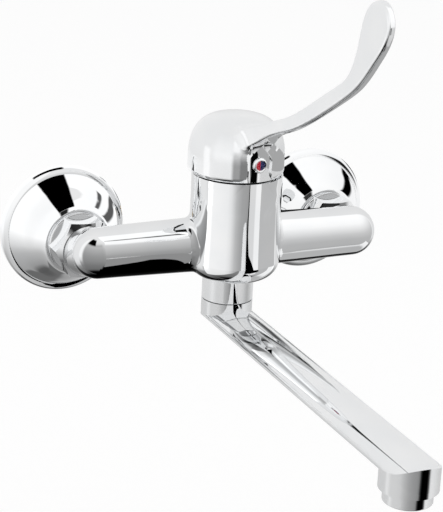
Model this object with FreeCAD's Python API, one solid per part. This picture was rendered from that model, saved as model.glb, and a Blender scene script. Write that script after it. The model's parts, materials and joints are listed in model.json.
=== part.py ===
import FreeCAD, Part
import math
import os

os.makedirs("parts", exist_ok=True)

V = FreeCAD.Vector
UP = V(0, 0, 1)
RIGHT = V(1, 0, 0)
INTO_WALL = V(0, 1, 0)

# Wall mixer tap. X runs along the wall, +Y into the wall, +Z up.
# Every shape is drawn with z = 0 at the axis of the union nuts, and is lifted
# at the end, so that z = 0 is the height of the two pipes in the wall.

# Wall connections
inlet_centres = 150.0
union_rise = 8.0
pipe_thread_r = 10.48
pipe_thread_length = 18.0
wall_thread_bore_r = 7.5
union_thread_r = 13.2
union_body_r = 13.9
union_shoulder = 15.0
union_front = 36.5
union_bore_r = 8.6

# Rosettes
rosette_r = 35.6
rosette_rim = 3.2
rosette_depth = 27.8
rosette_neck_r = 18.2
rosette_wall = 1.3
rosette_hole_r = 14.1
rosette_bell = ((0.793, 0.198), (0.690, 0.302), (0.506, 0.482), (0.253, 0.669), (0.069, 0.835))
rosette_lip_round = 0.8

# Union nuts
nut_back = 28.3
nut_front = 44.0
nut_flange_r = 17.0
nut_flange = 2.4
nut_flats = 30.0
nut_lip = 2.6
nut_neck_r = 10.4
insert_neck_r = 10.2
insert_flange_r = 12.6
insert_flange = 2.2
insert_thread_r = 9.6
mouth_thread_r = 9.65
insert_depth = 11.0
insert_bore_r = 6.8
washer_thickness = 2.0
mesh_bar = 0.8
mesh_thickness = 1.0
seat_gap = 0.1

# Body casting
mouth_seam = 0.3
mouth_out = nut_front + mouth_seam
mouth_r = 13.6
arm_end_r = 13.7
elbow_behind = 0.4
arm_out = mouth_out + arm_end_r + elbow_behind
arm_lift = 3.7
arm_root_r = 15.2
arm_fillet = 4.0
arm_channel_r = 5.0
barrel_ahead = 8.4
barrel_out = arm_out + barrel_ahead
barrel_r = 25.0
barrel_waist_r = 24.4
barrel_top_r = 24.5
barrel_top = 45.2
barrel_bottom = -12.0
barrel_round = 10.0
cartridge_floor = 11.0
cartridge_bore_r = 17.6
nut_seat = 36.8
nut_bore_r = 19.2
port_r = 3.2
inlet_port_x = 8.5
inlet_port_y = 8.0
outlet_port_y = -7.2
outlet_port_r = 4.4

# Spout socket under the barrel
spout_behind = 5.1
spout_out = barrel_out - spout_behind
nipple_r = 11.4
nipple_end = -20.0
socket_r = 9.05
socket_top = -3.5
collar_r = 14.0
collar_top = -12.1
collar_bottom = -26.9
collar_lip_top = -22.4
collar_lip_r = 9.6
collar_thread_r = 11.5

# Spout
spout_reach = 207.8
spout_seam = 0.25
spout_hub_bottom = -37.5
spout_half_width = 14.0
spout_middle = -36.2
spout_crown = 5.0
spout_belly = 7.1
spout_edge = 1.6
spout_tip_r = 14.2
spout_tip_bottom = -46.1
channel_width = 17.0
channel_height = 5.0
tail_r = 8.95
tail_bore_r = 5.6
tail_top = -4.6
ring_levels = (-9.0, -14.5)
ring_groove_r = 7.3
ring_groove_width = 2.0
o_ring_r = 8.13
o_ring_wire_r = 0.8
slip_groove_r = 8.0
slip_top = -20.4
slip_bottom = -22.2
slip_r = 11.2

# Aerator
aerator_r = 11.8
aerator_bottom = -52.7
aerator_thread_r = 10.9
aerator_top = -41.0
aerator_bore_r = 9.2
aerator_lip_r = 8.2
aerator_seal_bore_r = 7.6
seat_r = 11.05
seat_top = -39.5
insert_hole_r = 0.95
insert_hole_pitch = 3.1

# Cartridge
housing_r = 17.4
housing_bore_r = 15.0
housing_top = 38.0
housing_ceiling = 35.6
housing_hole_r = 11.1
base_r = 17.2
base_top = 15.0
seal_r = 4.85
seal_bore_r = 3.3
seal_height = 1.2
disc_r = 14.8
fixed_disc_top = 18.6
moving_disc_r = 11.5
moving_disc_top = 21.8
disc_hollow_r = 6.5
disc_hollow = 1.8
carrier_r = 11.7
carrier_top = 26.1
slide_offset = 2.0
rotor_r = 14.8
rotor_bottom = 26.3
rotor_neck_r = 11.0
rotor_top = 43.0
rotor_slot_width = 9.0
rotor_slot_length = 19.0
pivot_height = 36.0
pin_r = 2.5
pin_half_length = 10.2
stem_width = 8.0
stem_top = 60.0
stem_ball_height = 25.4
stem_ball_r = 2.9
stem_foot_r = 2.2
cartridge_nut_r = 19.1
cartridge_nut_bore_r = 13.2
cartridge_nut_bottom = 38.1
cartridge_nut_top = 44.4
notch_in_r = 15.6
notch_half_width = 1.6
notch_depth = 2.6

# Cover between body and lever
cover_r = 23.3
cover_wall = 1.2
cover_foot = 45.3
cover_opening_r = 16.5

# Lever
lever_turn = 6.0
cap_back = 2.0
skirt_bottom = 45.8
skirt_r = 25.8
skirt_round = 0.9
skirt_round_height = 2.8
skirt_bore_r = 24.4
cavity_sphere_r = 23.8
cap_shoulder = 55.0
cap_top = 77.4
crown = ((1.0, 0.0), (0.966, 0.354), (0.859, 0.646), (0.700, 0.832), (0.399, 0.965), (0.0, 1.0))
cavity = ((1.0, -0.02), (1.0, 0.09), (0.908, 0.21), (0.908, 0.45), (0.763, 0.68), (0.442, 0.83), (0.0, 0.87))
pad_half_width = 11.5
pad_out = 12.0
boss_r = 7.5
boss_bottom = 50.0
boss_top = cap_top - 3.6
socket_width = 8.2
socket_end = 62.0
screw_height = 55.0
screw_r = 2.5
screw_length = 7.0
key_hole_r = 3.0
key_flats = 2.5
key_depth = 2.4
blade_reach = 120.5
blade_base = 60.0
blade_rise = 100.1
blade_half = 2.0
blade_edge_r = 1.6
blade_root_r = 8.0
blade_upper = (
    (0.0747, 0.1299), (0.1660, 0.1628), (0.2614, 0.2048), (0.4307, 0.2897), (0.5892, 0.4056), (0.7602, 0.5345),
    (0.8232, 0.5914), (0.8639, 0.6673), (0.8913, 0.7662), (0.9095, 0.8661), (0.9378, 0.9491), (1.0000, 1.0000),
)
blade_lower = (
    (1.0000, 1.0000), (1.0639, 0.9750), (1.0938, 0.8991), (1.0788, 0.8192), (1.0116, 0.7003), (0.9129, 0.5634),
    (0.8066, 0.4675), (0.6382, 0.3377), (0.4382, 0.2078), (0.3012, 0.1379), (0.1992, 0.0599), (0.0996, 0.0000),
)
blade_plan = (
    (0.0664, 5.5000), (0.1660, 4.5000), (0.2490, 3.0000), (0.3485, 1.8000),
    (0.4647, 1.2000), (0.6307, 1.0000), (1.1120, 1.0000),
)
recess_depth = 1.0
recess_apex = 66.8
recess_sides = ((1.35, 44.5), (1.14, 47.2), (1.0, 50.5), (1.03, 54.0), (1.0, 57.3), (0.81, 59.8), (0.50, 62.4))
recess_half_width = 7.2

# Index plug in the front of the lever
plug_r = 4.3
plug_back = 20.0
plug_face = 23.7
plug_recess_r = 2.7
plug_recess = 0.9
index_thickness = 0.5


def save(name, shape):
    placed = shape.copy()
    placed.translate(UP * union_rise)
    placed.exportStep("parts/" + name + ".step")


def rod(radius, start, end):
    axis = end - start
    return Part.makeCylinder(radius, axis.Length, start, axis)


def pipe(outer_r, inner_r, start, end):
    return rod(outer_r, start, end).cut(rod(inner_r, start, end))


def upright(radius, centre, bottom, top):
    return rod(radius, V(centre.x, centre.y, bottom), V(centre.x, centre.y, top))


def upright_pipe(outer_r, inner_r, centre, bottom, top):
    return upright(outer_r, centre, bottom, top).cut(upright(inner_r, centre, bottom, top))


def block(x_span, y_span, z_span):
    size = (x_span[1] - x_span[0], y_span[1] - y_span[0], z_span[1] - z_span[0])
    return Part.makeBox(size[0], size[1], size[2], V(x_span[0], y_span[0], z_span[0]))


def curve(points):
    spline = Part.BSplineCurve()
    spline.interpolate([V(*point) for point in points])
    return spline.toShape()


def polyline(points):
    return Part.makePolygon([V(*point) for point in points]).Edges


def turned(edges, centre, axis):
    face = Part.Face(Part.Wire(Part.__sortEdges__(edges)))
    return face.revolve(centre, axis, 360)


def hexagon(flats, start, depth):
    across_corners = flats / math.sqrt(3.0)
    corners = []
    for step in range(7):
        angle = math.radians(60 * step)
        corners.append(V(start.x + across_corners * math.cos(angle), start.y, start.z + across_corners * math.sin(angle)))
    face = Part.Face(Part.makePolygon(corners))
    return face.extrude(V(0, -depth, 0))


BARREL = V(0, -barrel_out, 0)
SPOUT = V(0, -spout_out, 0)
TIP = V(0, -spout_out - spout_reach, 0)


def at_inlet(side, out, height=0.0):
    return V(side * inlet_centres / 2, -out, height)


def union(side):
    """Eccentric union: a pipe thread in the wall and an offset spigot in front of it."""
    low = -union_rise
    tail = rod(pipe_thread_r, at_inlet(side, -pipe_thread_length, low), at_inlet(side, 0.0, low))
    base = rod(union_body_r, at_inlet(side, 0.0, low), at_inlet(side, 3.0, low))
    circles = []
    for out, height in ((3.0, low), (union_shoulder, 0.0)):
        circles.append(Part.Wire(Part.makeCircle(union_body_r, at_inlet(side, out, height), INTO_WALL)))
    swan = Part.makeLoft(circles, True, True)
    front = rod(union_body_r, at_inlet(side, union_shoulder, 0), at_inlet(side, nut_back - 0.4, 0))
    spigot = rod(union_thread_r, at_inlet(side, nut_back - 0.4, 0), at_inlet(side, union_front, 0))
    shape = tail.fuse([base, swan, front, spigot]).removeSplitter()
    shape = shape.cut(rod(wall_thread_bore_r, at_inlet(side, -pipe_thread_length, low), at_inlet(side, 3.0, low)))
    inner = []
    for out, height, radius in ((3.0, low, wall_thread_bore_r), (union_shoulder, 0.0, union_bore_r)):
        inner.append(Part.Wire(Part.makeCircle(radius, at_inlet(side, out, height), INTO_WALL)))
    shape = shape.cut(Part.makeLoft(inner, True, True))
    return shape.cut(rod(union_bore_r, at_inlet(side, union_shoulder, 0), at_inlet(side, union_front, 0)))


def rosette_profile(side, inset):
    """Bell outline from the wall to the nut, moved inwards by the wall thickness."""
    points = []
    for width, depth in rosette_bell:
        radius = rosette_neck_r + width * (rosette_r - rosette_neck_r)
        points.append((radius - inset, depth * rosette_depth - inset))
    points.append((rosette_neck_r - inset, rosette_depth))
    return [(side * inlet_centres / 2 + radius, -out, 0.0) for radius, out in points]


def rosette(side):
    centre = at_inlet(side, 0.0)
    axis_x = centre.x
    outer = rosette_profile(side, 0.0)
    inner = rosette_profile(side, rosette_wall)
    rim = [(axis_x + rosette_r, 0.0, 0.0), (axis_x + rosette_r, -rosette_rim, 0.0)]
    rim_edge_x = axis_x + rosette_r - rosette_lip_round
    rim_round = [rim[-1], (rim_edge_x, -rosette_rim - 1.5 * rosette_lip_round, 0.0), outer[0]]
    rim_inside = [inner[0], (axis_x + rosette_r - rosette_wall, -rosette_rim + rosette_lip_round / 2, 0.0),
                  (axis_x + rosette_r - rosette_wall, 0.0, 0.0), (axis_x + rosette_r, 0.0, 0.0)]
    lip = [outer[-1], (axis_x + rosette_hole_r, -rosette_depth, 0.0),
           (axis_x + rosette_hole_r, -rosette_depth + rosette_wall, 0.0),
           (inner[-1][0], -rosette_depth + rosette_wall, 0.0)]
    inner[-1] = lip[-1]
    edges = polyline(rim) + [curve(rim_round), curve(outer)] + polyline(lip) + [curve(inner)] + polyline(rim_inside)
    return turned(edges, centre, INTO_WALL)


def union_nut(side):
    flange = rod(nut_flange_r, at_inlet(side, nut_back, 0), at_inlet(side, nut_back + nut_flange, 0))
    flange = flange.makeFillet(0.8, flange.Edges)
    start = at_inlet(side, nut_back + 0.5, 0)
    depth = nut_front - nut_back - 0.5
    blank = hexagon(nut_flats, start, depth)
    chamfer = Part.makeCone(nut_flats / 2 - 0.9 + depth, nut_flats / 2 - 0.9, depth, start, V(0, -1, 0))
    shape = flange.fuse(blank.common(chamfer)).removeSplitter()
    shape = shape.cut(rod(union_thread_r + 0.1, at_inlet(side, nut_back, 0), at_inlet(side, nut_front - nut_lip, 0)))
    return shape.cut(rod(nut_neck_r, at_inlet(side, nut_back, 0), at_inlet(side, nut_front, 0)))


def inlet_insert(side):
    """Flanged tube that the union nut pulls against the spigot."""
    flange_front = nut_front - nut_lip - seat_gap
    flange = rod(insert_flange_r, at_inlet(side, flange_front - insert_flange, 0), at_inlet(side, flange_front, 0))
    neck = rod(insert_neck_r, at_inlet(side, flange_front, 0), at_inlet(side, mouth_out - seat_gap, 0))
    thread = rod(insert_thread_r, at_inlet(side, mouth_out - seat_gap, 0), at_inlet(side, mouth_out + insert_depth, 0))
    shape = flange.fuse([neck, thread]).removeSplitter()
    bore = rod(insert_bore_r, at_inlet(side, flange_front - insert_flange, 0), at_inlet(side, mouth_out + insert_depth, 0))
    return shape.cut(bore)


def filter_washer(side):
    front = nut_front - nut_lip - insert_flange - 2 * seat_gap
    back = front - washer_thickness
    ring = pipe(insert_flange_r - seat_gap, insert_bore_r, at_inlet(side, back, 0), at_inlet(side, front, 0))
    bars = []
    middle = (front + back) / 2
    for angle in (0.0, 60.0, 120.0):
        reach = insert_bore_r + mesh_bar
        half_bar = mesh_bar / 2
        half_thick = mesh_thickness / 2
        bar = block((-reach, reach), (-middle - half_bar, -middle + half_bar), (-half_thick, half_thick))
        bar.rotate(V(0, 0, 0), INTO_WALL, angle)
        bar.translate(V(side * inlet_centres / 2, 0, 0))
        bars.append(bar)
    return ring.fuse(bars)


def arm(side):
    """Tapered arm along the wall, with a round elbow that turns back to the union nut."""
    axis = V(0, -arm_out, arm_lift)
    end_x = side * inlet_centres / 2
    tip_x = end_x + side * arm_end_r
    diagonal = arm_end_r * math.sqrt(0.5)
    sides = polyline([
        (tip_x, -arm_out, arm_lift),
        (0.0, -arm_out, arm_lift),
        (0.0, -arm_out, arm_lift - arm_root_r),
        (end_x, -arm_out, arm_lift - arm_end_r),
    ])
    knuckle = Part.Arc(
        V(end_x, -arm_out, arm_lift - arm_end_r),
        V(end_x + side * diagonal, -arm_out, arm_lift - diagonal),
        V(tip_x, -arm_out, arm_lift),
    ).toShape()
    tube = turned(sides + [knuckle], axis, RIGHT)
    elbow = at_inlet(side, arm_out, arm_lift)
    towards_nut = at_inlet(side, mouth_out, 0.0) - elbow
    mouth = Part.makeCylinder(mouth_r, towards_nut.Length + mouth_r, elbow, towards_nut)
    behind_mouth = block(
        (end_x - 2 * mouth_r, end_x + 2 * mouth_r),
        (-mouth_out, -mouth_out + 3 * mouth_r),
        (-2 * mouth_r, 2 * mouth_r),
    )
    return tube.fuse(mouth.cut(behind_mouth))


def junction_edges(shape):
    """Edges on both sides where the round arms run into the barrel."""
    plain = ("Part::GeomLine", "Part::GeomCircle", "Part::GeomEllipse", "Part::GeomHyperbola")
    found = []
    for edge in shape.Edges:
        if edge.Degenerated or edge.Curve.TypeId in plain:
            continue
        middle = edge.valueAt((edge.FirstParameter + edge.LastParameter) / 2)
        beside = abs(middle.x) > arm_root_r / 2
        if beside and math.hypot(middle.x, middle.y + barrel_out) < barrel_r + 1.0:
            found.append(edge)
    return found


def barrel():
    """Upright barrel with a slight waist and a well rounded foot, drawn from the back."""
    def at(radius, height):
        return V(0, -barrel_out + radius, height)

    corner = barrel_r - barrel_round
    diagonal = barrel_round * math.sqrt(0.5)
    shoulder = barrel_bottom + barrel_round
    foot = Part.Arc(
        at(corner, barrel_bottom),
        at(corner + diagonal, shoulder - diagonal),
        at(barrel_r, shoulder),
    ).toShape()
    wall = curve([
        at(barrel_r, shoulder),
        at(barrel_waist_r, (shoulder + barrel_top) / 2),
        at(barrel_top_r, barrel_top),
    ])
    ends = polyline([
        at(barrel_top_r, barrel_top),
        at(0, barrel_top),
        at(0, barrel_bottom),
        at(corner, barrel_bottom),
    ])
    return turned([foot, wall] + ends, BARREL, UP)


def body_casting():
    nipple = upright(nipple_r, SPOUT, nipple_end, barrel_bottom + 6.0)
    shape = barrel().fuse([arm(-1), arm(1)]).removeSplitter()
    shape = shape.makeFillet(arm_fillet, junction_edges(shape))
    shape = shape.fuse(nipple).removeSplitter()
    cuts = [
        upright(cartridge_bore_r, BARREL, cartridge_floor, barrel_top),
        upright(nut_bore_r, BARREL, nut_seat, barrel_top),
        upright(socket_r, SPOUT, nipple_end, socket_top),
        upright(outlet_port_r, BARREL + V(0, outlet_port_y, 0), socket_top - 4.5, cartridge_floor),
    ]
    for side in (-1, 1):
        port = BARREL + V(side * inlet_port_x, inlet_port_y, 0)
        channel_start = V(side * inlet_port_x, -arm_out, arm_lift)
        cuts.append(upright(port_r, port, arm_lift, cartridge_floor))
        cuts.append(rod(arm_channel_r, channel_start, at_inlet(side, arm_out, arm_lift)))
        cuts.append(rod(mouth_thread_r, at_inlet(side, mouth_out, 0), at_inlet(side, mouth_out + insert_depth + 0.4, 0)))
    for cut in cuts:
        shape = shape.cut(cut)
    return shape


def spout_collar():
    shape = upright(collar_r, SPOUT, collar_bottom, collar_top)
    shape = shape.makeFillet(0.5, shape.Edges)
    shape = shape.cut(upright(collar_thread_r, SPOUT, collar_lip_top, collar_top))
    return shape.cut(upright(collar_lip_r, SPOUT, collar_bottom, collar_lip_top))


def spout_bar():
    """Flat oval bar: a shallow crown on top, a deeper belly below, small round edges."""
    half = spout_half_width
    flat = half - spout_edge
    start_y = -spout_out + spout_half_width + 1.0
    crown_edge = spout_middle + spout_edge * 0.75
    belly_edge = spout_middle - spout_edge * 0.75
    top = Part.Arc(V(-flat, start_y, crown_edge), V(0, start_y, spout_middle + spout_crown), V(flat, start_y, crown_edge))
    right = Part.Arc(V(flat, start_y, crown_edge), V(half, start_y, spout_middle), V(flat, start_y, belly_edge))
    below = Part.Arc(V(flat, start_y, belly_edge), V(0, start_y, spout_middle - spout_belly), V(-flat, start_y, belly_edge))
    left = Part.Arc(V(-flat, start_y, belly_edge), V(-half, start_y, spout_middle), V(-flat, start_y, crown_edge))
    section = Part.Face(Part.Wire([top.toShape(), right.toShape(), below.toShape(), left.toShape()]))
    length = spout_reach + 2 * spout_half_width + 4.0
    return section.extrude(V(0, -length, 0))


def spout_outline(low, high):
    """Plan of the spout: straight sides with a round hub end and a round tip."""
    hub = upright(spout_half_width, SPOUT, low, high)
    tip = upright(spout_tip_r, TIP, low, high)
    between = block((-spout_half_width, spout_half_width), (TIP.y, SPOUT.y), (low, high))
    return hub.fuse([tip, between])


def spout():
    bar = spout_bar().common(spout_outline(spout_middle - 2 * spout_belly, spout_middle + 2 * spout_belly))
    hub_top = collar_bottom - spout_seam
    hub = upright(spout_half_width, SPOUT, spout_middle, hub_top)
    tip = upright(spout_tip_r, TIP, spout_tip_bottom, spout_middle + 0.6)
    shape = bar.fuse([hub, tip, upright(tail_r, SPOUT, hub_top - 1.0, tail_top)])
    channel_low = spout_middle - channel_height / 2 - 0.6
    cuts = [
        upright(tail_bore_r, SPOUT, channel_low, tail_top),
        block((-channel_width / 2, channel_width / 2), (TIP.y, SPOUT.y), (channel_low, channel_low + channel_height)),
        upright(channel_width / 2, TIP, seat_top, channel_low + channel_height),
        upright(seat_r, TIP, spout_tip_bottom, seat_top),
        upright_pipe(tail_r + 0.5, slip_groove_r, SPOUT, slip_bottom, slip_top),
    ]
    for level in ring_levels:
        half = ring_groove_width / 2
        cuts.append(upright_pipe(tail_r + 0.5, ring_groove_r, SPOUT, level - half, level + half))
    return shape.cut(cuts)


def spout_o_rings():
    rings = []
    for level in ring_levels:
        rings.append(Part.makeTorus(o_ring_r, o_ring_wire_r, V(0, -spout_out, level), UP))
    return Part.makeCompound(rings)


def spout_slip_ring():
    ring = upright_pipe(slip_r, slip_groove_r, SPOUT, slip_bottom, slip_top)
    split = block((-0.6, 0.6), (-spout_out, -spout_out + slip_r + 1.0), (slip_bottom, slip_top))
    return ring.cut(split)


def aerator_housing():
    skirt = upright(aerator_r, TIP, aerator_bottom, spout_tip_bottom - 0.2)
    skirt = skirt.makeFillet(0.7, skirt.Edges)
    thread = upright(aerator_thread_r, TIP, aerator_bottom + 2.0, aerator_top)
    shape = skirt.fuse(thread).removeSplitter()
    shape = shape.cut(upright(aerator_bore_r, TIP, aerator_bottom + 1.2, aerator_top))
    return shape.cut(upright(aerator_lip_r, TIP, aerator_bottom, aerator_bottom + 1.2))


def aerator_insert():
    low = aerator_bottom + 1.3
    shape = upright(aerator_bore_r - 0.1, TIP, low, aerator_top - 0.2)
    shape = shape.cut(upright(aerator_bore_r - 1.4, TIP, low + 2.0, aerator_top - 0.2))
    holes = []
    for row in range(-2, 3):
        count = 5 - abs(row)
        for index in range(count):
            x = (index - (count - 1) / 2) * insert_hole_pitch
            y = row * insert_hole_pitch * math.sqrt(0.75)
            holes.append(upright(insert_hole_r, TIP + V(x, y, 0), low - 1.0, low + 3.0))
    return shape.cut(holes)


def aerator_seal():
    return upright_pipe(aerator_thread_r, aerator_seal_bore_r, TIP, aerator_top + 0.1, seat_top - 0.05)


def local(out, height, across=0.0):
    """Point in the lever's own frame: barrel axis at the origin, blade pointing out."""
    return V(across, -out, height)


def place_on_barrel(shape):
    """Turn a piece with the lever and move it onto the barrel axis."""
    placed = shape.copy()
    placed.rotate(V(0, 0, 0), UP, lever_turn)
    placed.translate(BARREL)
    return placed


def port_centres():
    inlets = [V(side * inlet_port_x, inlet_port_y, 0) for side in (-1, 1)]
    return inlets + [V(0, outlet_port_y, 0)]


def cartridge_base():
    shape = upright(base_r, BARREL, cartridge_floor + 0.15, base_top)
    cuts = []
    for centre in port_centres():
        place = BARREL + centre
        cuts.append(upright(port_r, place, cartridge_floor, base_top))
        cuts.append(upright(seal_r, place, cartridge_floor, cartridge_floor + seal_height))
    return shape.cut(cuts)


def cartridge_seals():
    seals = []
    for centre in port_centres():
        place = BARREL + centre
        seals.append(upright_pipe(seal_r, seal_bore_r, place, cartridge_floor, cartridge_floor + seal_height))
    return Part.makeCompound(seals)


def cartridge_housing():
    shape = upright(housing_r, BARREL, base_top, housing_top)
    neck = upright(cartridge_nut_bore_r - 0.3, BARREL, housing_top, housing_top + 3.0)
    shape = shape.fuse(neck).removeSplitter()
    cuts = [
        upright(housing_bore_r, BARREL, base_top, housing_ceiling),
        upright(housing_hole_r, BARREL, housing_ceiling, housing_top + 3.0),
    ]
    return shape.cut(cuts)


def fixed_disc():
    shape = upright(disc_r, BARREL, base_top, fixed_disc_top)
    return shape.cut([upright(port_r, BARREL + centre, base_top, fixed_disc_top) for centre in port_centres()])


def moving_disc():
    centre = V(0, slide_offset, 0)
    shape = upright(moving_disc_r, centre, fixed_disc_top, moving_disc_top)
    hollow = upright(disc_hollow_r, centre, fixed_disc_top, fixed_disc_top + disc_hollow)
    return place_on_barrel(shape.cut(hollow))


def disc_carrier():
    centre = V(0, slide_offset, 0)
    shape = upright(carrier_r, centre, moving_disc_top, carrier_top)
    socket = upright(stem_ball_r + 0.3, V(0, 0, 0), moving_disc_top + 0.4, carrier_top)
    return place_on_barrel(shape.cut(socket))


def rotor():
    """Turning holder of the stem, with a slot in the direction of the tilt."""
    origin = V(0, 0, 0)
    shape = upright(rotor_r, origin, rotor_bottom, housing_ceiling - 0.2)
    shape = shape.fuse(upright(rotor_neck_r, origin, rotor_bottom, rotor_top)).removeSplitter()
    half_width = rotor_slot_width / 2
    half_length = rotor_slot_length / 2
    slot = block((-half_width, half_width), (-half_length, half_length), (rotor_bottom, rotor_top))
    pin_hole = rod(pin_r, V(-pin_half_length, 0, pivot_height), V(pin_half_length, 0, pivot_height))
    return place_on_barrel(shape.cut([slot, pin_hole]))


def pivot_pin():
    pin = rod(pin_r, V(-pin_half_length + 0.2, 0, pivot_height), V(pin_half_length - 0.2, 0, pivot_height))
    return place_on_barrel(pin)


def stem():
    half = stem_width / 2
    shank = block((-half, half), (-half, half), (pivot_height - 6.0, stem_top))
    foot = upright(stem_foot_r, V(0, 0, 0), stem_ball_height, pivot_height - 5.0)
    ball = Part.makeSphere(stem_ball_r, V(0, 0, stem_ball_height))
    shape = shank.fuse([foot, ball])
    hole = rod(pin_r + 0.05, V(-half, 0, pivot_height), V(half, 0, pivot_height))
    return place_on_barrel(shape.cut(hole))


def cartridge_nut():
    shape = upright(cartridge_nut_r, BARREL, cartridge_nut_bottom, cartridge_nut_top)
    shape = shape.cut(upright(cartridge_nut_bore_r, BARREL, cartridge_nut_bottom, cartridge_nut_top))
    notches = []
    for index in range(6):
        notch = block(
            (notch_in_r, cartridge_nut_r + 1.0),
            (-notch_half_width, notch_half_width),
            (cartridge_nut_top - notch_depth, cartridge_nut_top),
        )
        notch.rotate(V(0, 0, 0), UP, 60 * index)
        notch.translate(BARREL)
        notches.append(notch)
    return shape.cut(notches)


def cover_ring():
    """Chromed zone of a ball round the lever's pivot, seen when the lever is lifted."""
    pivot = BARREL + V(0, 0, pivot_height)
    ball = Part.makeSphere(cover_r, pivot).cut(Part.makeSphere(cover_r - cover_wall, pivot))
    zone = upright(cover_r + 1.0, BARREL, cover_foot, pivot_height + cover_r + 1.0)
    shape = ball.common(zone)
    return shape.cut(upright(cover_opening_r, BARREL, cover_foot, pivot_height + cover_r + 1.0))


def cap_profile(radius, points, base, top):
    """Points of a turned outline about the cap's own axis, which lies behind the stem."""
    return [(share * radius, cap_back, base + rise * (top - base)) for share, rise in points]


def dome():
    """Round cap with a rolled lower edge, turned about its own axis."""
    outline = cap_profile(skirt_r, crown, cap_shoulder, cap_top)
    foot_r = skirt_r - skirt_round
    rolled = [
        (foot_r, cap_back, skirt_bottom),
        (skirt_r - skirt_round / 3, cap_back, skirt_bottom + skirt_round_height / 3),
        (skirt_r, cap_back, skirt_bottom + skirt_round_height),
    ]
    straight = polyline([outline[-1], (0, cap_back, skirt_bottom), rolled[0]]) + polyline([rolled[-1], outline[0]])
    return turned(straight + [curve(rolled), curve(outline)], V(0, cap_back, 0), UP)


def lever_cavity():
    """Room inside the cap, with the front left solid for the index plug."""
    outline = cap_profile(skirt_bore_r, cavity, skirt_bottom, cap_top)
    outline = outline + [(0, cap_back, outline[0][2]), outline[0]]
    hollow = turned(polyline(outline), V(0, cap_back, 0), UP)
    pad = block((-pad_half_width, pad_half_width), (-skirt_r - 1.0, -pad_out), (skirt_bottom - 1.0, cap_top))
    ball = Part.makeSphere(cavity_sphere_r, V(0, 0, pivot_height))
    return hollow.cut(pad).fuse(ball)


def recess():
    """Pointed arch in front of the cap, with an S-shaped edge on each side."""
    right = [(share * recess_half_width, height) for share, height in recess_sides]
    left = [(-across, height) for across, height in right]
    front = -skirt_r - 1.0
    right_edge = curve([(across, front, height) for across, height in right] + [(0, front, recess_apex)])
    left_edge = curve([(across, front, height) for across, height in left] + [(0, front, recess_apex)])
    foot = polyline([(left[0][0], front, left[0][1]), (right[0][0], front, right[0][1])])
    face = Part.Face(Part.Wire(Part.__sortEdges__([right_edge, left_edge] + foot)))
    arch = face.extrude(V(0, skirt_r, 0))
    core = upright(skirt_r - recess_depth, V(0, cap_back, 0), right[0][1] - 1.0, cap_top)
    return arch.cut(core)


def blade():
    """Upright paddle: an S-shaped outline whose thickness tapers from the root."""
    def outline_points(points):
        return [(0, -out * blade_reach, blade_base + rise * blade_rise) for out, rise in points]

    upper = outline_points(blade_upper)
    lower = outline_points(blade_lower)
    edges = [curve(upper), curve(lower)] + polyline([lower[-1], upper[0]])
    outline = Part.Face(Part.Wire(Part.__sortEdges__(edges)))
    widest = 2 * blade_half * blade_plan[0][1]
    slab = outline.extrude(V(2 * widest, 0, 0))
    slab.translate(V(-widest, 0, 0))
    below = blade_base - 10.0
    left = [(-share * blade_half, -out * blade_reach, below) for out, share in blade_plan]
    right = [(share * blade_half, -out * blade_reach, below) for out, share in blade_plan]
    ends = polyline([left[0], right[0]]) + polyline([left[-1], right[-1]])
    plan = Part.Face(Part.Wire(Part.__sortEdges__([curve(left), curve(right)] + ends)))
    return slab.common(plan.extrude(V(0, 0, 2 * blade_rise)))


def outer_edges(shape, least_out):
    """Edges whose middle lies further from the barrel than the given distance."""
    found = []
    for edge in shape.Edges:
        middle = edge.valueAt((edge.FirstParameter + edge.LastParameter) / 2)
        if not edge.Degenerated and -middle.y > least_out:
            found.append(edge)
    return found


def root_edges(shape):
    """Edges where the blade's top and sides grow out of the cap."""
    found = []
    for edge in shape.Edges:
        middle = edge.valueAt((edge.FirstParameter + edge.LastParameter) / 2)
        near = skirt_r / 2 < -middle.y < skirt_r and middle.z > recess_apex
        if near and edge.Length < 2 * skirt_r and edge.Curve.TypeId == "Part::GeomBSplineCurve":
            found.append(edge)
    return found


def lever():
    paddle = blade()
    paddle = paddle.makeFillet(blade_edge_r, outer_edges(paddle, skirt_r))
    shape = dome().fuse(paddle).removeSplitter()
    shape = shape.makeFillet(blade_root_r, root_edges(shape))
    shape = shape.cut(recess())
    shape = shape.cut(lever_cavity())
    shape = shape.fuse(upright(boss_r, V(0, 0, 0), boss_bottom, boss_top))
    half = socket_width / 2
    cuts = [
        block((-half, half), (-half, half), (boss_bottom, socket_end)),
        rod(screw_r, local(0.0, screw_height), local(boss_r + 1.0, screw_height)),
        rod(plug_r, local(plug_back, screw_height), local(skirt_r + 1.0, screw_height)),
        rod(key_hole_r, local(boss_r - 1.0, screw_height), local(plug_back + 1.0, screw_height)),
    ]
    return place_on_barrel(shape.cut(cuts).removeSplitter())


def lever_screw():
    start = stem_width / 2 + 0.05
    screw = rod(screw_r, local(start, screw_height), local(start + screw_length, screw_height))
    end = start + screw_length
    key = hexagon(key_flats, local(end - key_depth, screw_height), key_depth)
    return place_on_barrel(screw.cut(key))


def index_plug():
    edges = polyline([
        (0, -plug_back, screw_height),
        (plug_r, -plug_back, screw_height),
        (plug_r, -plug_face + 1.2, screw_height),
    ])
    edges.append(curve([
        (plug_r, -plug_face + 1.2, screw_height),
        (plug_r - 0.45, -plug_face + 0.4, screw_height),
        (plug_r - 1.1, -plug_face, screw_height),
    ]))
    edges = edges + polyline([
        (plug_r - 1.1, -plug_face, screw_height),
        (plug_recess_r, -plug_face + 0.1, screw_height),
        (plug_recess_r, -plug_face + plug_recess, screw_height),
        (0, -plug_face + plug_recess, screw_height),
        (0, -plug_back, screw_height),
    ])
    return place_on_barrel(turned(edges, V(0, 0, screw_height), INTO_WALL))


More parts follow.
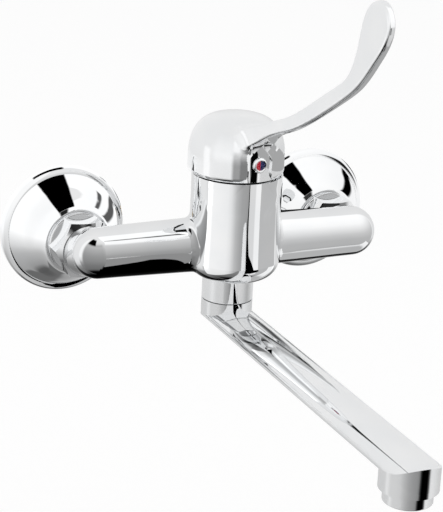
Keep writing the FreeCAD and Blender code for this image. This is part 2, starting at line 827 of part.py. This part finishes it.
def index_half(side):
    floor = plug_face - plug_recess
    disc = rod(plug_recess_r, local(floor, screw_height), local(floor + index_thickness, screw_height))
    span = (-plug_r, 0.0) if side < 0 else (0.0, plug_r)
    half = block(span, (-plug_face, -plug_back), (screw_height - plug_r, screw_height + plug_r))
    return place_on_barrel(disc.common(half))


save("body_casting", body_casting())
for label, hand in (("left", -1), ("right", 1)):
    save(label + "_union", union(hand))
    save(label + "_rosette", rosette(hand))
    save(label + "_union_nut", union_nut(hand))
    save(label + "_inlet_insert", inlet_insert(hand))
    save(label + "_filter_washer", filter_washer(hand))
save("spout_collar", spout_collar())
save("spout", spout())
save("spout_o_rings", spout_o_rings())
save("spout_slip_ring", spout_slip_ring())
save("aerator_housing", aerator_housing())
save("aerator_insert", aerator_insert())
save("aerator_seal", aerator_seal())
save("cartridge_base", cartridge_base())
save("cartridge_seals", cartridge_seals())
save("cartridge_housing", cartridge_housing())
save("fixed_disc", fixed_disc())
save("moving_disc", moving_disc())
save("disc_carrier", disc_carrier())
save("rotor", rotor())
save("pivot_pin", pivot_pin())
save("stem", stem())
save("cartridge_nut", cartridge_nut())
save("cover_ring", cover_ring())
save("lever", lever())
save("lever_screw", lever_screw())
save("index_plug", index_plug())
save("index_red", index_half(-1))
save("index_blue", index_half(1))
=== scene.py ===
import json
import math
from collections import namedtuple

import bpy
from mathutils import Matrix, Vector


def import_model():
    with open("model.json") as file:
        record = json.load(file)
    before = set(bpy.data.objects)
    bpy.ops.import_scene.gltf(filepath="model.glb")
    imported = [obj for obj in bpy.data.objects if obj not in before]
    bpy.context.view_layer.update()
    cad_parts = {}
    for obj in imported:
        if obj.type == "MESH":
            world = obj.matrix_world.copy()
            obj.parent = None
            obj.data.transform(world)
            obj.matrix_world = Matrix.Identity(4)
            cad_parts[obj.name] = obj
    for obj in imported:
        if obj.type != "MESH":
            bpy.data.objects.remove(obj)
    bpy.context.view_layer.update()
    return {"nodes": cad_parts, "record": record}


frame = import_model()
nodes = frame["nodes"]
scene = bpy.context.scene

# Camera: the photograph's viewpoint, in metres and degrees
CAMERA_PLACE = Vector((-0.3926, -0.9185, 0.3207))
CAMERA_YAW = math.radians(24.37)
CAMERA_DOWN = math.radians(18.57)
CAMERA_ROLL = math.radians(2.87)
CAMERA_LENS_MM = 128.54
CAMERA_RANGE = (0.01, 50.0)
SENSOR_MM = 36.0

# Studio, in metres. Every sky is one step larger than the one before it.
FLOOR_HEIGHT = -0.30
FLOOR_SIZE = 12.0
SKY_SIZE = 5.0
SKY_STEP = 0.1
ROOM_SIZE = 6.0
LEAST_HEIGHT = 0.01
CARD_GAP = 0.0005

# Light. Chrome sends back its share of what it sees.
WHITE = (1.0, 1.0, 1.0, 1.0)
FLOOR_COLOUR = (0.94, 0.94, 0.94, 1.0)
FLOOR_ROUGHNESS = 0.9
FLOOR_LIFT = 0.17
ROOM_LIGHT = 0.9
BLACK_LIGHT = 0.0
CHROME_SHARE = 0.88
DISPLAY_GAMMA = 2.2

# Surfaces: two tones and a roughness that follow fine and coarse noise
TONE_STOPS = (0.35, 0.65)
FINE_DETAIL = 2.0
COARSE_DETAIL = 4.0
COARSE_SHARE = 0.35
RELIEF_DEPTH = 0.0002

# Chromed nodes, grouped by the sky that they reflect
CASTING = ("body_casting",)
LEFT_ROSETTE = ("left_rosette",)
RIGHT_ROSETTE = ("right_rosette",)
NUTS = ("left_union_nut", "right_union_nut")
CAP = ("lever", "index_plug", "cover_ring")
SPOUT = ("spout", "aerator_housing")
COLLAR = ("spout_collar",)

# Parts of a sky. Turn is 0 degrees into the wall, 90 to the right and 180 or -180 to the room. Rise is the
# height above the horizon in degrees. Soft is the width over which a part fades into what lies round it.
Zone = namedtuple("Zone", "span soft greys")
Spot = namedtuple("Spot", "turn rise soft grey")
Patch = namedtuple("Patch", "x y soft grey")


def camera():
    forward = Vector((
        math.sin(CAMERA_YAW) * math.cos(CAMERA_DOWN),
        math.cos(CAMERA_YAW) * math.cos(CAMERA_DOWN),
        -math.sin(CAMERA_DOWN),
    ))
    level = Vector((math.cos(CAMERA_YAW), -math.sin(CAMERA_YAW), 0.0))
    upright = level.cross(forward)
    right = math.cos(CAMERA_ROLL) * level + math.sin(CAMERA_ROLL) * upright
    up = math.cos(CAMERA_ROLL) * upright - math.sin(CAMERA_ROLL) * level
    turn = Matrix((right, up, -forward)).transposed().to_4x4()
    data = bpy.data.cameras.new("camera")
    data.sensor_width = SENSOR_MM
    data.lens = CAMERA_LENS_MM
    data.clip_start, data.clip_end = CAMERA_RANGE
    obj = bpy.data.objects.new("camera", data)
    obj.matrix_world = Matrix.Translation(CAMERA_PLACE) @ turn
    scene.collection.objects.link(obj)
    scene.camera = obj


class Shading:
    """The shader nodes of a material, a lamp or the world."""

    def __init__(self, owner):
        self.owner = owner
        owner.use_nodes = True
        self.tree = owner.node_tree

    def add(self, kind):
        return self.tree.nodes.new(kind)

    def feed(self, value, socket):
        """Sets a socket to a number or a colour, or links another node's output to it."""
        if isinstance(value, (int, float, tuple)):
            socket.default_value = value
        else:
            self.tree.links.new(value, socket)

    def compute(self, operation, *values):
        node = self.add("ShaderNodeMath")
        node.operation = operation
        for value, socket in zip(values, node.inputs):
            self.feed(value, socket)
        return node.outputs["Value"]

    def remap(self, source, old=(0.0, 1.0), new=(0.0, 1.0), kind="LINEAR"):
        """Carries the source from the old span to the new one."""
        node = self.add("ShaderNodeMapRange")
        node.interpolation_type = kind
        self.feed(source, node.inputs["Value"])
        for name, value in zip(("From Min", "From Max", "To Min", "To Max"), (*old, *new)):
            self.feed(value, node.inputs[name])
        return node.outputs["Result"]

    def ramp(self, source, stops):
        """Colours along a source that runs from 0 to 1, given as (place, colour) stops."""
        node = self.add("ShaderNodeValToRGB")
        points = node.color_ramp.elements
        while len(points) < len(stops):
            points.new(0.5)
        for point, (place, colour) in zip(points, stops):
            point.position = place
            point.color = (*colour, 1.0)
        self.feed(source, node.inputs["Fac"])
        return node.outputs["Color"]


class Finish(Shading):
    """A surface material."""

    def __init__(self, name):
        super().__init__(bpy.data.materials.new(name))
        self.inputs = self.tree.nodes["Principled BSDF"].inputs

    def noise(self, scale, detail):
        node = self.add("ShaderNodeTexNoise")
        self.feed(scale, node.inputs["Scale"])
        self.feed(detail, node.inputs["Detail"])
        self.feed(self.add("ShaderNodeTexCoord").outputs["Object"], node.inputs["Vector"])
        return node.outputs["Fac"]

    def relief(self, source, amount):
        node = self.add("ShaderNodeBump")
        self.feed(amount, node.inputs["Strength"])
        self.feed(RELIEF_DEPTH, node.inputs["Distance"])
        self.feed(source, node.inputs["Height"])
        self.feed(node.outputs["Normal"], self.inputs["Normal"])


def finish(name, tones, roughness, grain, metallic=0.0, relief=0.0):
    """A material whose colour, roughness and relief all vary a little with noise."""
    made = Finish(name)
    fine = made.noise(grain, FINE_DETAIL)
    coarse = made.noise(grain * COARSE_SHARE, COARSE_DETAIL)
    made.feed(made.ramp(fine, tuple(zip(TONE_STOPS, tones))), made.inputs["Base Color"])
    made.feed(made.remap(coarse, new=roughness), made.inputs["Roughness"])
    made.feed(metallic, made.inputs["Metallic"])
    if relief:
        made.relief(fine, relief)
    return made.owner


def chrome():
    tones = ((0.86, 0.87, 0.88), (0.89, 0.895, 0.90))
    return finish("polished_chrome", tones, roughness=(0.015, 0.035), grain=60.0, metallic=1.0)


def brass():
    tones = ((0.66, 0.47, 0.20), (0.74, 0.54, 0.25))
    return finish("turned_brass", tones, roughness=(0.22, 0.34), grain=500.0, metallic=1.0, relief=0.15)


def steel():
    tones = ((0.50, 0.50, 0.51), (0.58, 0.58, 0.58))
    return finish("stainless_steel", tones, roughness=(0.25, 0.38), grain=600.0, metallic=1.0, relief=0.1)


def rubber():
    tones = ((0.012, 0.012, 0.013), (0.03, 0.03, 0.03))
    return finish("sealing_rubber", tones, roughness=(0.6, 0.75), grain=900.0, relief=0.2)


def white_plastic():
    tones = ((0.74, 0.74, 0.71), (0.80, 0.80, 0.77))
    return finish("white_plastic", tones, roughness=(0.35, 0.5), grain=700.0, relief=0.1)


def ceramic():
    tones = ((0.82, 0.81, 0.76), (0.87, 0.86, 0.82))
    return finish("ceramic", tones, roughness=(0.12, 0.2), grain=900.0)


def red():
    tones = ((0.42, 0.006, 0.022), (0.50, 0.010, 0.030))
    return finish("red_index", tones, roughness=(0.15, 0.25), grain=700.0)


def blue():
    tones = ((0.006, 0.014, 0.070), (0.010, 0.020, 0.100))
    return finish("blue_index", tones, roughness=(0.15, 0.25), grain=700.0)


FINISHES = {
    "chrome": chrome,
    "brass": brass,
    "steel": steel,
    "rubber": rubber,
    "white_plastic": white_plastic,
    "ceramic": ceramic,
    "red": red,
    "blue": blue,
}


def dress():
    """Gives every node the finish of its material slot."""
    made = {slot: make() for slot, make in FINISHES.items()}
    for part in frame["record"]["subparts"]:
        node = nodes[part["node"]]
        node.data.materials.clear()
        node.data.materials.append(made[part["material_slot"]])


def strength(grey):
    """Light that chrome shows as this grey, 0 black and 1 white."""
    return grey ** DISPLAY_GAMMA / CHROME_SHARE


class Glow(Shading):
    """Light of a material or a lamp, worked out from the place on its surface."""

    def __init__(self, owner):
        super().__init__(owner)
        self.tree.nodes.clear()
        split = self.add("ShaderNodeSeparateXYZ")
        self.feed(self.add("ShaderNodeNewGeometry").outputs["Position"], split.inputs["Vector"])
        self.x, self.y, self.z = split.outputs

    def turn(self):
        return self.compute("DEGREES", self.compute("ARCTAN2", self.x, self.y))

    def rise(self):
        squares = [self.compute("MULTIPLY", side, side) for side in (self.x, self.y)]
        level = self.compute("SQRT", self.compute("ADD", *squares))
        return self.compute("DEGREES", self.compute("ARCTAN2", self.z, level))

    def steps(self, source, stops):
        """Brightness along a line, given as (place, brightness) stops."""
        low, high = stops[0][0], stops[-1][0]
        colours = [((place - low) / (high - low), (value, value, value)) for place, value in stops]
        return self.ramp(self.remap(source, old=(low, high)), colours)

    def greys(self, source, stops):
        """The same for (place, grey) stops."""
        return self.steps(source, [(place, strength(grey)) for place, grey in stops])

    def within(self, source, span, soft):
        """1 inside the span, falling to 0 over the soft width at both ends."""
        low, high = span
        away = self.compute("ABSOLUTE", self.compute("SUBTRACT", source, (low + high) / 2))
        half = (high - low) / 2
        return self.remap(away, old=(half + soft / 2, half - soft / 2), kind="SMOOTHSTEP")

    def mix(self, share, first, second):
        step = self.compute("SUBTRACT", second, first)
        return self.compute("ADD", first, self.compute("MULTIPLY", share, step))

    def emission(self, brightness):
        node = self.add("ShaderNodeEmission")
        self.feed(WHITE, node.inputs["Color"])
        self.feed(brightness, node.inputs["Strength"])
        return node.outputs["Emission"]

    def shine(self, brightness, clear=False, one_sided=False):
        """Ends a material.

        A clear one adds its light to what stands behind it. A one-sided one only shows from the side that
        its corners run counterclockwise on.
        """
        result = self.emission(brightness)
        if clear:
            both = self.add("ShaderNodeAddShader")
            self.feed(result, both.inputs[0])
            self.feed(self.add("ShaderNodeBsdfTransparent").outputs["BSDF"], both.inputs[1])
            result = both.outputs["Shader"]
        if one_sided:
            pick = self.add("ShaderNodeMixShader")
            self.feed(self.add("ShaderNodeNewGeometry").outputs["Backfacing"], pick.inputs["Fac"])
            self.feed(result, pick.inputs[1])
            self.feed(self.add("ShaderNodeBsdfTransparent").outputs["BSDF"], pick.inputs[2])
            result = pick.outputs["Shader"]
        self.feed(result, self.add("ShaderNodeOutputMaterial").inputs["Surface"])
        self.owner.cycles.emission_sampling = "NONE"
        return self.owner

    def shine_as_lamp(self, brightness):
        """Ends a lamp."""
        self.feed(self.emission(brightness), self.add("ShaderNodeOutputLight").inputs["Surface"])


def glow(name):
    """The start of a material that shines."""
    return Glow(bpy.data.materials.new(name))


def stage_mesh(name, corners, faces, material):
    mesh = bpy.data.meshes.new(name)
    mesh.from_pydata(corners, [], faces)
    mesh.materials.append(material)
    obj = bpy.data.objects.new(name, mesh)
    scene.collection.objects.link(obj)
    return obj


def only_reflected(obj, seen_by):
    """Shows the object as a reflection alone, and if nodes are listed, in those alone."""
    obj.visible_camera = False
    obj.visible_diffuse = False
    obj.visible_shadow = False
    if seen_by:
        group = bpy.data.collections.new(obj.name + "_mirrors")
        for name in seen_by:
            group.objects.link(nodes[name])
        obj.light_linking.receiver_collection = group


def shell(name, half, material, seen_by=()):
    """A closed box round the whole studio."""
    sides = (-half, half)
    corners = [(x, y, z) for x in sides for y in sides for z in sides]
    faces = [(0, 1, 3, 2), (4, 6, 7, 5), (0, 4, 5, 1), (2, 3, 7, 6), (0, 2, 6, 4), (1, 5, 7, 3)]
    only_reflected(stage_mesh(name, corners, faces, material), seen_by)


def rectangle(across, along):
    (left, right), (low, high) = across, along
    return [(left, low), (right, low), (right, high), (left, high)]


def card(name, axis, place, outline, material, seen_by=()):
    """A flat card across the axis at the place. Its outline gives the other two coordinates in order."""
    order = "xyz".index(axis)
    corners = [(*point[:order], place, *point[order:]) for point in outline]
    only_reflected(stage_mesh(name, corners, [tuple(range(len(corners)))], material), seen_by)


def flag(name, axis, place, outline, light):
    """A card that hides the sky behind it and shows from one side."""
    card(name, axis, place, outline, glow(name).shine(light, one_sided=True))


def soft_box(name, near, far, height, stops, seen_by):
    """An upright lamp from near to far, whose brightness follows y."""
    data = bpy.data.lights.new(name, "AREA")
    data.shape = "RECTANGLE"
    data.size = (far - near).length
    data.size_y = height
    data.energy = math.pi * data.size * data.size_y
    light = Glow(data)
    light.shine_as_lamp(light.steps(light.y, stops))
    across = (far - near).normalized()
    up = Vector((0.0, 0.0, 1.0))
    turn = Matrix((across, up, across.cross(up))).transposed().to_4x4()
    obj = bpy.data.objects.new(name, data)
    obj.matrix_world = Matrix.Translation((near + far) / 2) @ turn
    scene.collection.objects.link(obj)
    only_reflected(obj, seen_by)


def sky(name, order, seen_by, by_rise, zones=(), rows=(), spots=(), above=()):
    """Surroundings that some nodes reflect.

    by_rise holds greys by rise, and zones the same for a span of turns. rows holds greys by turn for a
    span of rises, spots one grey for a span of both, and above one grey for a rectangle on a ceiling one
    unit up. What comes later covers what comes before.
    """
    made = glow(name)
    turn = made.turn()
    rise = made.rise()
    light = made.greys(rise, by_rise)
    for zone in zones:
        light = made.mix(made.within(turn, zone.span, zone.soft), light, made.greys(rise, zone.greys))
    for row in rows:
        light = made.mix(made.within(rise, row.span, row.soft), light, made.greys(turn, row.greys))
    for spot in spots:
        turned = made.within(turn, spot.turn, spot.soft)
        raised = made.within(rise, spot.rise, spot.soft)
        light = made.mix(made.compute("MULTIPLY", turned, raised), light, strength(spot.grey))
    # The least height keeps what lies below the horizon out of the ceiling's rectangles
    height = made.compute("MAXIMUM", made.z, LEAST_HEIGHT)
    for patch in above:
        across = made.within(made.compute("DIVIDE", made.x, height), patch.x, patch.soft)
        along = made.within(made.compute("DIVIDE", made.y, height), patch.y, patch.soft)
        light = made.mix(made.compute("MULTIPLY", across, along), light, strength(patch.grey))
    shell(name, SKY_SIZE + SKY_STEP * order, made.shine(light, clear=True), seen_by)


def body_sky():
    """The casting: white at the sides, grey in front, black under the left arm."""
    by_rise = (
        (-84, 0.08), (-74, 0.16), (-67, 0.34), (-61, 0.43), (-50, 0.48), (-42, 0.58), (-36, 0.78),
        (-28, 0.87), (-15, 0.89), (90, 0.90))
    left = (
        (-66, 0.35), (-50, 0.46), (-40, 0.50), (-30, 0.62), (-20, 0.84), (-8, 0.96), (50, 0.97), (70, 0.90))
    front = (
        (-80, 0.02), (-70, 0.06), (-64, 0.30), (-58, 0.42), (-40, 0.46), (-20, 0.53), (0, 0.575),
        (10, 0.605), (20, 0.64), (30, 0.67), (40, 0.71), (48, 0.68), (58, 0.85), (70, 0.90))
    left_arm = (
        (-52, 0.0), (-47, 0.05), (-42, 0.35), (-34, 0.50), (-20, 0.55), (0, 0.61), (10, 0.67), (20, 0.71),
        (30, 0.75), (40, 0.79), (50, 0.84), (60, 0.88), (75, 0.92))
    far_right = ((-66, 0.0), (-56, 0.30), (-48, 0.95), (0, 1.0), (60, 0.95))
    right_arm = (
        (-75, 0.0), (-54, 0.02), (-47, 0.66), (-40, 0.69), (-20, 0.70), (0, 0.77), (20, 0.88), (40, 0.97),
        (60, 1.0))
    wall = ((-70, 0.03), (-50, 0.10), (-38, 0.30), (-28, 0.62), (-21, 0.84), (90, 0.90))
    zones = (
        Zone((-97, -74), 10, left),
        Zone((-260, -92), 14, front),
        Zone((160, 260), 2, front),
        Zone((130, 168), 14, left_arm),
        Zone((40, 82), 8, far_right),
        Zone((80, 154), 4, right_arm),
        Zone((-35, 78), 12, wall),
    )
    left_elbow = Spot((-148, -94), (47, 74), 8, 0.03)
    left_root = Spot((133, 142), (55, 63), 4, 0.05)
    barrel_foot = Spot((158, 188), (-95, -56), 8, 0.0)
    sky("body_sky", 1, CASTING, by_rise, zones, spots=(left_elbow, left_root, barrel_foot))


def barrel_cards():
    """A lamp at the left of the barrel's front, a pale strip at its right, and a dark wedge on the strip."""
    lamp_near = Vector((-0.0245, -0.078, 0.033))
    lamp_far = Vector((0.0103, -0.165, 0.033))
    lamp_height = 0.074
    lamp_light = (
        (-0.165, 0.03), (-0.135, 0.08), (-0.113, 0.12), (-0.107, 0.18), (-0.1024, 0.26), (-0.0993, 0.40),
        (-0.096, 0.57), (-0.0925, 0.66), (-0.079, 0.72))
    soft_box("barrel_light", lamp_near, lamp_far, lamp_height, lamp_light, CASTING)
    strip_y = -0.125
    strip_light = 0.45
    strip = rectangle((0.0025, 0.033), (-0.035, 0.07))
    card("barrel_strip", "y", strip_y, strip, glow("strip_glow").shine(strip_light, clear=True), CASTING)
    wedge = (
        (0.002, 0.05), (0.0035, 0.015), (0.0062, 0.005), (0.0135, 0.0004), (0.038, -0.0174),
        (0.0405, -0.0225), (0.0005, -0.0225), (0.0005, 0.05))
    flag("barrel_wedge", "y", strip_y + CARD_GAP, wedge, BLACK_LIGHT)


def arm_cards():
    """Black and grey undersides of the left arm, and a dark line over the right arm with light below it."""
    flag_x = -0.0205
    underside = (
        (-0.27, -0.29), (-0.27, -0.20), (-0.19, -0.13), (-0.172, -0.088), (-0.164, -0.065),
        (-0.149, -0.0345), (-0.125, -0.024), (-0.105, -0.020), (-0.085, -0.019), (-0.06, -0.019),
        (-0.06, -0.29))
    flag("arm_flag", "x", flag_x, underside, BLACK_LIGHT)
    screen_x = flag_x + 2 * CARD_GAP
    screen_grey = 0.54
    screen = (
        (-0.27, -0.29), (-0.27, -0.03), (-0.209, -0.016), (-0.16, -0.004), (-0.116, 0.002),
        (-0.085, 0.004), (-0.085, -0.29))
    flag("arm_screen", "x", screen_x, screen, strength(screen_grey))
    wall_y = -0.04
    wall_light = 0.01
    line = ((0.034, 0.010), (0.066, 0.010), (0.066, 0.027), (0.048, 0.034), (0.034, 0.040))
    flag("wall_flag", "y", wall_y, line, wall_light)
    under_z = -0.075
    under_light = 0.5
    under = rectangle((0.036, 0.20), (-0.125, -0.04))
    card("arm_card", "z", under_z, under, glow("arm_glow").shine(under_light, clear=True), CASTING)


def cap_shelf():
    """A grey shelf at the right, which shows in the lower part of the cap."""
    shelf_z = 0.0535
    shelf_light = 0.42
    flag("right_shelf", "z", shelf_z, rectangle((0.03, 0.25), (-0.22, -0.05)), shelf_light)


def left_rosette_sky():
    """White bell with a black wedge from a dark patch overhead, and a greyer right side."""
    by_rise = (
        (-80, 0.30), (-70, 0.36), (-63, 0.58), (-52, 0.65), (-42, 0.70), (-36, 0.76), (-30, 0.84),
        (-17, 0.95), (-11, 1.0), (90, 1.0))
    left = ((-40, 0.74), (-25, 0.82), (-12, 0.92), (0, 0.97), (60, 0.98))
    right = ((-60, 0.72), (-20, 0.75), (20, 0.90))
    zones = (Zone((-260, -104), 24, left), Zone((98, 180), 6, right))
    spots = (
        Spot((70, 84), (20, 28), 4, 0.35),
        Spot((55, 76), (-6, 6), 4, 0.35),
        Spot((150, 185), (-35, -22), 4, 0.10),
        Spot((-35, 18), (-72, -50), 10, 0.40),
    )
    overhead = Patch((-0.475, 0.27), (-0.36, 0.44), 0.05, 0.0)
    over_wall = Patch((-0.46, -0.02), (0.44, 1.5), 0.15, 0.15)
    sky("left_rosette_sky", 2, LEFT_ROSETTE, by_rise, zones, spots=spots, above=(overhead, over_wall))


def right_rosette_sky():
    """White bell with a black wedge from a dark patch overhead."""
    by_rise = ((-80, 0.30), (-60, 0.45), (-40, 0.65), (-17, 0.95), (90, 1.0))
    spots = (Spot((55, 80), (-2, 14), 5, 0.0), Spot((120, 146), (-8, 16), 8, 0.10))
    overhead = Patch((-0.60, -0.07), (-0.45, 0.36), 0.05, 0.0)
    over_wall = Patch((-0.75, -0.14), (0.36, 1.5), 0.15, 0.22)
    sky("right_rosette_sky", 3, RIGHT_ROSETTE, by_rise, spots=spots, above=(overhead, over_wall))


def nut_sky():
    """Pale nuts, with a dark band high up towards the room."""
    by_rise = (
        (-90, 0.62), (-55, 0.52), (-40, 0.40), (-25, 0.65), (-5, 0.92), (30, 0.90), (42, 0.50), (60, 0.55),
        (75, 0.95))
    front = (
        (-90, 0.60), (-55, 0.50), (-40, 0.46), (-25, 0.60), (-10, 0.72), (5, 0.66), (20, 0.74), (35, 0.80),
        (44, 0.35), (50, 0.15), (66, 0.20), (76, 0.70), (90, 0.95))
    sky("nut_sky", 4, NUTS, by_rise, (Zone((-260, -130), 12, front), Zone((120, 260), 12, front)))


def cap_sky():
    """Pale dome and blade, a darker facet beside the recess, and dark lower edges."""
    by_rise = (
        (-80, 0.20), (-66, 0.34), (-56, 0.46), (-46, 0.72), (-31, 0.80), (-25, 0.97), (-18, 0.95),
        (-12, 0.90), (0, 0.91), (90, 0.90))
    wall = (
        (-80, 0.12), (-58, 0.14), (-50, 0.22), (-36, 0.35), (-26, 0.70), (-16, 0.80), (0, 0.85), (20, 0.90),
        (90, 0.90))
    left_front = (
        (-80, 0.60), (-66, 0.30), (-58, 0.0), (-48, 0.05), (-40, 0.50), (-30, 0.80), (-15, 0.91), (0, 0.96),
        (20, 0.94), (60, 0.90))
    front = (
        (-80, 0.30), (-66, 0.0), (-54, 0.05), (-46, 0.40), (-35, 0.48), (-20, 0.54), (-8, 0.68), (2, 0.80),
        (12, 0.97), (35, 0.99), (60, 0.90))
    recess = (
        (-66, 0.0), (-54, 0.05), (-44, 0.46), (-20, 0.46), (-8, 0.52), (6, 0.80), (20, 0.95), (60, 0.90))
    right = ((-75, 0.0), (-62, 0.10), (-54, 0.75), (-30, 0.85), (-10, 0.95), (20, 1.0), (90, 1.0))
    zones = (
        Zone((15, 100), 14, wall),
        Zone((-150, -98), 22, left_front),
        Zone((-260, -148), 10, front),
        Zone((-200, -166), 6, recess),
        Zone((90, 178), 10, right),
    )
    spots = (
        Spot((-92, -74), (-30, 8), 8, 0.98),
        Spot((88, 142), (-32, -6), 8, 0.80),
        Spot((149, 168), (-32, -6), 4, 0.05),
    )
    sky("cap_sky", 5, CAP, by_rise, zones, spots=spots)


def spout_sky():
    """Pale bar with a dark upright band on its round tip."""
    by_rise = ((-80, 0.40), (-60, 0.55), (-40, 0.75), (-20, 0.86), (0, 0.88), (30, 0.90), (90, 0.92))
    left = ((-60, 0.60), (-40, 0.78), (0, 0.82), (30, 0.86), (60, 0.9))
    tip = (
        (-180, 0.55), (-165, 0.58), (-150, 0.63), (-135, 0.70), (-120, 0.78), (-100, 0.80), (-84, 0.80),
        (-66, 0.88), (-50, 0.80), (60, 0.77), (84, 0.80), (118, 0.87), (127, 0.86), (135, 0.30),
        (141, 0.03), (163, 0.02), (168, 0.20), (175, 0.52), (180, 0.54))
    sky("spout_sky", 6, SPOUT, by_rise, (Zone((-80, -20), 20, left),), rows=(Zone((-60, -14), 6, tip),))


def collar_sky():
    """Pale collar with a thin dark upright line."""
    by_rise = ((-60, 0.40), (0, 0.85), (90, 0.90))
    side = (
        (-180, 0.53), (-171, 0.49), (-162, 0.59), (-144, 0.69), (-137, 0.79), (-107, 0.81), (-86, 0.89),
        (-63, 0.83), (60, 0.82), (75, 0.79), (105, 0.66), (130, 0.78), (151, 0.82), (168, 0.78),
        (171, 0.60), (175, 0.15), (178, 0.56), (180, 0.53))
    sky("collar_sky", 7, COLLAR, by_rise, rows=(Zone((-60, 10), 6, side),))


def inner_sky():
    """The pieces inside and behind."""
    outer = {*CASTING, *LEFT_ROSETTE, *RIGHT_ROSETTE, *NUTS, *CAP, *SPOUT, *COLLAR}
    inner = [name for name in nodes if name not in outer]
    sky("inner_sky", 8, inner, ((-90, 0.60), (-20, 0.80), (20, 0.95), (90, 1.0)))


def surroundings():
    """A black room, and in it the skies and cards that the chrome reflects."""
    shell("studio_wall", ROOM_SIZE, glow("studio_black").shine(BLACK_LIGHT))
    body_sky()
    barrel_cards()
    arm_cards()
    cap_shelf()
    left_rosette_sky()
    right_rosette_sky()
    nut_sky()
    cap_sky()
    spout_sky()
    collar_sky()
    inner_sky()


def floor():
    """A pale floor, lifted towards white for the camera alone."""
    made = Finish("pale_floor")
    made.feed(FLOOR_COLOUR, made.inputs["Base Color"])
    made.feed(FLOOR_ROUGHNESS, made.inputs["Roughness"])
    made.feed(WHITE, made.inputs["Emission Color"])
    seen = made.add("ShaderNodeLightPath").outputs["Is Camera Ray"]
    made.feed(made.compute("MULTIPLY", seen, FLOOR_LIFT), made.inputs["Emission Strength"])
    side = (-FLOOR_SIZE / 2, FLOOR_SIZE / 2)
    corners = [(x, y, FLOOR_HEIGHT) for x, y in rectangle(side, side)]
    obj = stage_mesh("floor", corners, [(0, 1, 2, 3)], made.owner)
    obj.visible_glossy = False


def world():
    """White where it is seen, reflected or seen through, and a little darker as light on the tap."""
    made = Shading(bpy.data.worlds.new("studio"))
    made.tree.nodes.clear()
    path = made.add("ShaderNodeLightPath").outputs
    shown = made.compute("MAXIMUM", path["Is Camera Ray"], path["Is Glossy Ray"])
    shown = made.compute("MAXIMUM", shown, path["Is Transmission Ray"])
    pick = made.add("ShaderNodeMixShader")
    made.feed(shown, pick.inputs["Fac"])
    for level, socket in zip((ROOM_LIGHT, 1.0), (pick.inputs[1], pick.inputs[2])):
        background = made.add("ShaderNodeBackground")
        made.feed(WHITE, background.inputs["Color"])
        made.feed(level, background.inputs["Strength"])
        made.feed(background.outputs["Background"], socket)
    made.feed(pick.outputs["Shader"], made.add("ShaderNodeOutputWorld").inputs["Surface"])
    scene.world = made.owner


camera()
dress()
floor()
surroundings()
world()

scene.view_settings.view_transform = "Standard"
